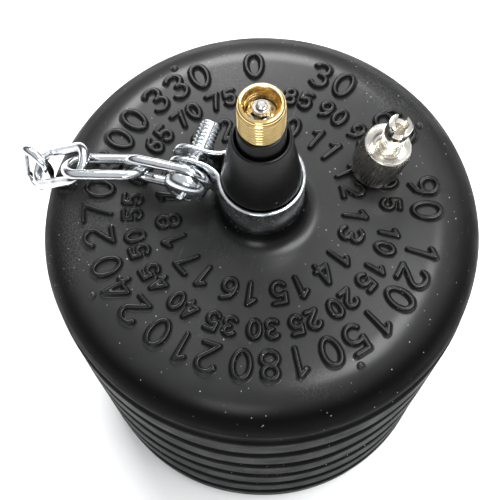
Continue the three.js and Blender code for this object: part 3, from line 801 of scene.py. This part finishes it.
def cap_shell():
    top = CAP_HEIGHT
    tip = CAP_HEIGHT + KEY_LENGTH
    profile = [
        (0, CAP_BORE_DEPTH),
        (CAP_BORE, CAP_BORE_DEPTH),
        (CAP_BORE, 0.0003),
        (0.00425, 0),
        (0.00432, 0),
        (0.00447, 0.00012),
        (CAP_CORE, 0.0003),
        (CAP_CORE, top - 0.0005),
        (0.00442, top - 0.00015),
        (0.00425, top),
        (0.00305, top),
        (0.0029, top - 0.0001),
        (0.00262, top - 0.0009),
        (0.00215, top - 0.00095),
        (0.0018, top - 0.0006),
        (KEY_WAIST, top - 0.0002),
        (KEY_WAIST, tip - 0.0046),
        (0.00215, tip - 0.0042),
        (KEY_RADIUS, tip - 0.0040),
        (KEY_RADIUS, tip - 0.0003),
        (0.00208, tip - 0.00008),
        (0.0019, tip),
        (0.0014, tip),
        (KEY_BORE, tip - 0.00018),
        (KEY_BORE, tip - 0.0046),
        (0, tip - 0.0046),
    ]
    return turned("cap_shell", profile, 112, "plug", closed=False, smooth_deg=35)


def valve_cap(nickel):
    shell = cap_shell()
    slot_cut(shell)
    knurl = cap_knurl()
    for piece in (shell, knurl):
        place(piece, cap_matrix())
        paint(piece, nickel)
    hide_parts("valve_cap")


def slot_cut(shell):
    """Slot across the key, which leaves two prongs."""
    bpy.ops.mesh.primitive_cube_add(size=1)
    cutter = bpy.context.object
    cutter.data.transform(Matrix.Diagonal((KEY_SLOT_WIDTH, 4 * KEY_RADIUS, 2 * KEY_SLOT_DEPTH, 1)))
    cutter.data.transform(Matrix.Rotation(KEY_SLOT, 4, "Z"))
    cutter.data.transform(Matrix.Translation((0, 0, CAP_HEIGHT + KEY_LENGTH)))
    cut_away(shell, cutter)
    soften(shell, 35)


# Materials


class Nodes:
    """Short ways to add nodes to a material."""

    def __init__(self, name):
        self.material = bpy.data.materials.new(name)
        self.material.use_nodes = True
        self.tree = self.material.node_tree
        self.shader = self.tree.nodes["Principled BSDF"]
        self.coordinates = self.tree.nodes.new("ShaderNodeTexCoord").outputs["Object"]

    def add(self, kind, inputs=None, **settings):
        node = self.tree.nodes.new(kind)
        for key, value in settings.items():
            setattr(node, key, value)
        for key, value in (inputs or {}).items():
            self.set(node.inputs[key], value)
        return node

    def set(self, socket, value):
        if isinstance(value, bpy.types.NodeSocket):
            self.tree.links.new(value, socket)
        else:
            socket.default_value = value

    def principled(self, **values):
        for key, value in values.items():
            self.set(self.shader.inputs[key.replace("_", " ")], value)

    def noise(self, scale, detail=3.0, roughness=0.5):
        inputs = {
            "Vector": self.coordinates,
            "Scale": scale,
            "Detail": detail,
            "Roughness": roughness,
        }
        return self.add("ShaderNodeTexNoise", inputs).outputs["Fac"]

    def cells(self, scale, vector=None, feature="F1"):
        inputs = {"Vector": vector or self.coordinates, "Scale": scale}
        return self.add("ShaderNodeTexVoronoi", inputs, feature=feature)

    def ramp(self, factor, low, high, start=0.0, end=1.0):
        inputs = {
            "Value": factor,
            "From Min": low,
            "From Max": high,
            "To Min": start,
            "To Max": end,
        }
        node = self.add("ShaderNodeMapRange", inputs, interpolation_type="SMOOTHSTEP")
        return node.outputs["Result"]

    def math(self, operation, a, b=0.0):
        return self.add("ShaderNodeMath", {0: a, 1: b}, operation=operation).outputs[0]

    def mix(self, factor, a, b):
        node = self.add("ShaderNodeMix", data_type="RGBA")
        self.set(node.inputs["Factor"], factor)
        self.set(node.inputs["A"], a)
        self.set(node.inputs["B"], b)
        return node.outputs["Result"]

    def bump(self, height, distance, strength=1.0, normal=None):
        inputs = {"Height": height, "Distance": distance, "Strength": strength}
        if normal:
            inputs["Normal"] = normal
        return self.add("ShaderNodeBump", inputs).outputs["Normal"]


def grey(value, tint=(1, 1, 1)):
    return (value * tint[0], value * tint[1], value * tint[2], 1)


def scratches(n, scale, turn, share):
    """Thin straight lines, a few of them, along one direction."""
    mapped = n.add(
        "ShaderNodeMapping",
        {"Vector": n.coordinates, "Rotation": (0, 0, turn), "Scale": (scale, scale * 0.04, scale)},
    ).outputs["Vector"]
    inputs = {"Vector": mapped, "Scale": 1.0, "Detail": 1.0}
    lines = n.add("ShaderNodeTexNoise", inputs).outputs["Fac"]
    ridge = n.math("ABSOLUTE", n.math("SUBTRACT", lines, 0.5))
    thin = n.ramp(ridge, 0.0, 0.006, 1.0, 0.0)
    where = n.ramp(n.noise(60, 2), share, share + 0.06)
    return n.math("MULTIPLY", thin, where)


def specks(n, scale, size, share):
    """Sparse round dust specks."""
    cell = n.cells(scale)
    near = n.ramp(cell.outputs["Distance"], size * 0.6, size, 1.0, 0.0)
    draw = n.add("ShaderNodeSeparateColor", {"Color": cell.outputs["Color"]}).outputs[0]
    return n.math("MULTIPLY", near, n.ramp(draw, share, share + 0.02))


def rubber_material():
    """Grey on the flat face, which is a painted sheen with blotches and dust on it; near black on
    the figures, the neck and the side, where the side's dark is a painted shade.
    """
    n = Nodes("moulded_rubber")
    blotches = n.noise(70, 5, 0.6)
    fine = n.noise(900, 4, 0.6)
    dust = n.ramp(n.noise(24, 4, 0.65), 0.3, 0.75)
    height = n.add("ShaderNodeSeparateXYZ", {0: n.coordinates}).outputs["Z"]
    above = n.ramp(height, FACE + 0.0002, FACE + 0.0007, 1.0, 0.0)
    below = n.ramp(height, FACE - 0.0035, FACE - 0.0002)
    sheen_face_mask = n.math("MULTIPLY", above, below)
    # The face's grey level is a painted sheen; its blotches and dust are the rubber's own
    dark, pale = grey(0.012, (1.0, 1.0, 1.03)), grey(0.017, (1.0, 1.0, 1.02))
    face_sheen_and_dust = n.mix(n.ramp(blotches, 0.35, 0.7), dark, pale)
    face_sheen_and_dust = n.mix(n.math("MULTIPLY", dust, 0.4), face_sheen_and_dust, grey(0.03, (1.0, 0.99, 0.97)))
    # Painted sheen: the flat face takes the lighter grey; the figures, neck and side keep a
    # near-black base, on the side a painted shade
    colour = n.mix(sheen_face_mask, grey(0.0025), face_sheen_and_dust)
    cracks = leather(n)
    colour = n.mix(n.math("MULTIPLY", cracks, sheen_face_mask), colour, grey(0.055))
    lines = n.math("MAXIMUM", scratches(n, 1500, 0.5, 0.56), scratches(n, 1300, 2.1, 0.58))
    colour = n.mix(n.math("MULTIPLY", lines, 0.18), colour, grey(0.16))
    flecks = n.math("MAXIMUM", specks(n, 1300, 0.2, 0.97), specks(n, 1900, 0.22, 0.975))
    colour = n.mix(flecks, colour, grey(0.3, (1.0, 0.98, 0.92)))
    rough = n.ramp(n.noise(160, 4, 0.6), 0.3, 0.75, 0.4, 0.55)
    n.principled(Base_Color=colour, Roughness=rough, Specular_IOR_Level=0.03)
    n.principled(Coat_Weight=n.math("MULTIPLY", below, 0.42), Coat_Roughness=0.26)
    grain = n.bump(fine, 0.00006, 0.5)
    pits = n.bump(n.noise(260, 3, 0.55), 0.00012, 0.45, grain)
    n.principled(Normal=n.bump(cracks, 0.00006, 0.4, pits))
    return n.material


def leather(n):
    """Fine cracks between small cells, as in dry rubber, near the rim and in a few patches."""
    warped = n.noise(300, 3, 0.6)
    inputs = {0: n.coordinates, 1: n.math("MULTIPLY", warped, 0.0012)}
    vector = n.add("ShaderNodeVectorMath", inputs, operation="ADD").outputs["Vector"]
    edge = n.cells(1300, vector, "DISTANCE_TO_EDGE").outputs["Distance"]
    crack = n.ramp(edge, 0.02, 0.07, 1.0, 0.0)
    return n.math("MULTIPLY", crack, n.ramp(n.noise(45, 3), 0.5, 0.66, 0.0, 0.6))


def sleeve_material():
    n = Nodes("smooth_rubber")
    n.principled(
        Base_Color=grey(0.003),
        Roughness=n.ramp(n.noise(300, 3), 0.3, 0.7, 0.28, 0.4),
        Specular_IOR_Level=0.25,
        Normal=n.bump(n.noise(900, 3), 0.00003, 0.4),
    )
    return n.material


def metal(name, colour, dark, rough_low, rough_high, grain=700, depth=0.00002):
    n = Nodes(name)
    wear = n.ramp(n.noise(220, 4, 0.6), 0.35, 0.75)
    shade = n.mix(n.math("MULTIPLY", wear, 0.5), colour, dark)
    n.principled(
        Base_Color=shade,
        Metallic=1.0,
        Roughness=n.ramp(n.noise(500, 3, 0.6), 0.3, 0.75, rough_low, rough_high),
        Normal=n.bump(n.noise(grain, 4, 0.6), depth, 0.6),
    )
    return n.material


def soft_material(name, colour):
    n = Nodes(name)
    n.principled(
        Base_Color=n.mix(n.ramp(n.noise(600, 3), 0.3, 0.7), colour, grey(0.02)),
        Roughness=n.ramp(n.noise(400, 3), 0.3, 0.7, 0.5, 0.7),
        Normal=n.bump(n.noise(1200, 3), 0.00003, 0.4),
    )
    return n.material


# Camera, floor and light


def set_camera():
    look = Vector(CAMERA_LOOK).normalized()
    right = Vector(CAMERA_RIGHT).normalized()
    up = right.cross(look).normalized()
    matrix = Matrix((right, up, -look)).transposed().to_4x4()
    matrix.translation = Vector(CAMERA_PLACE)
    data = bpy.data.cameras.new("camera")
    data.lens = CAMERA_LENS
    data.sensor_width = CAMERA_SENSOR
    data.clip_start = 0.01
    camera = bpy.data.objects.new("camera", data)
    camera.matrix_world = matrix
    bpy.context.collection.objects.link(camera)
    bpy.context.scene.camera = camera


def set_floor():
    bpy.ops.mesh.primitive_plane_add(size=3, location=(0, 0, -0.0002))
    floor = bpy.context.object
    floor.name = "floor"
    n = Nodes("floor_paper")
    n.principled(
        Base_Color=n.mix(n.noise(9, 2), grey(0.93), grey(0.95)),
        Roughness=0.9,
        Specular_IOR_Level=0.1,
    )
    paint(floor, n.material)


def area_light(name, spot, size, power):
    """A lamp that faces the upper part of the plug."""
    data = bpy.data.lights.new(name, "AREA")
    data.shape = "RECTANGLE"
    data.size = size
    data.energy = power
    light = bpy.data.objects.new(name, data)
    light.location = spot
    toward = Vector(LAMP_TARGET) - Vector(spot)
    light.rotation_euler = toward.to_track_quat("-Z", "Y").to_euler()
    bpy.context.collection.objects.link(light)


def set_lights():
    world = bpy.data.worlds.new("room")
    bpy.context.scene.world = world
    world.use_nodes = True
    tree = world.node_tree
    background = tree.nodes["Background"]
    background.inputs["Color"].default_value = (0.95, 0.98, 1.0, 1)
    direction = tree.nodes.new("ShaderNodeTexCoord").outputs["Generated"]
    split = tree.nodes.new("ShaderNodeSeparateXYZ")
    tree.links.new(direction, split.inputs[0])
    rise = tree.nodes.new("ShaderNodeMapRange")
    rise.interpolation_type = "SMOOTHSTEP"
    for name, value in WORLD_RISE.items():
        rise.inputs[name].default_value = value
    tree.links.new(split.outputs["Z"], rise.inputs["Value"])
    tree.links.new(rise.outputs["Result"], background.inputs["Strength"])
    for lamp in LAMPS:
        area_light(*lamp)


def dress_nodes(materials):
    """Better materials on the CAD nodes that stay."""
    for node, material in materials.items():
        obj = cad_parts[node]
        obj.data.materials.clear()
        obj.data.materials.append(material)


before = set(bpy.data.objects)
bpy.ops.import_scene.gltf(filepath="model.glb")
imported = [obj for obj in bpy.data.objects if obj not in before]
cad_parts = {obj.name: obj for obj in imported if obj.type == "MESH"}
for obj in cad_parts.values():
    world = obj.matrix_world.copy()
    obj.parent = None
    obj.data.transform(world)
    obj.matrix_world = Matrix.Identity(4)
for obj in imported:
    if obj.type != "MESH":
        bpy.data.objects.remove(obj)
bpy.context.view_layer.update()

bpy.context.scene.view_settings.view_transform = "Standard"
set_camera()

rubber = rubber_material()
zinc = metal("zinc_plate", (0.72, 0.74, 0.76, 1), (0.42, 0.44, 0.46, 1), 0.12, 0.3)
brass = metal("brass", (0.84, 0.62, 0.27, 1), (0.5, 0.32, 0.11, 1), 0.1, 0.26)
nickel = metal("nickel_plate", (0.80, 0.77, 0.71, 1), (0.5, 0.47, 0.41, 1), 0.12, 0.28)
steel = metal("drawn_steel", (0.78, 0.77, 0.75, 1), (0.5, 0.48, 0.45, 1), 0.12, 0.25)
sleeve = sleeve_material()
washer = soft_material("washer_rubber", grey(0.01))
gasket = soft_material("gasket_rubber", (0.25, 0.03, 0.02, 1))

rubber_body(rubber)
outer_numbers = [str(d) for d in range(0, 360, OUTER_STEP)]
raised_ring("outer_figures", outer_numbers, OUTER_HEIGHT, OUTER_RING, 112, rubber)
middle_numbers = [str(5 * (k + 1)) for k in range(MIDDLE_COUNT)]
raised_ring("middle_figures", middle_numbers, MIDDLE_HEIGHT, MIDDLE_RING, 20, rubber)
inner_numbers = [str(k + 10) for k in range(INNER_COUNT)]
raised_ring("inner_figures", inner_numbers, INNER_HEIGHT, INNER_RING, 96, rubber)
stem_sleeve(sleeve)
valve_stem(brass)
inner_thread(brass)
core_spring(steel)
clamp_band(zinc)
clamp_screw(zinc)
for index in range(1, 5):
    chain_link(index, zinc)
valve_cap(nickel)
dress_nodes(
    {
        "core_plug": steel,
        "core_barrel": brass,
        "core_gasket": gasket,
        "core_pin": steel,
        "core_cup": brass,
        "core_seal": washer,
        "cap_seal": washer,
    }
)

set_floor()
set_lights()
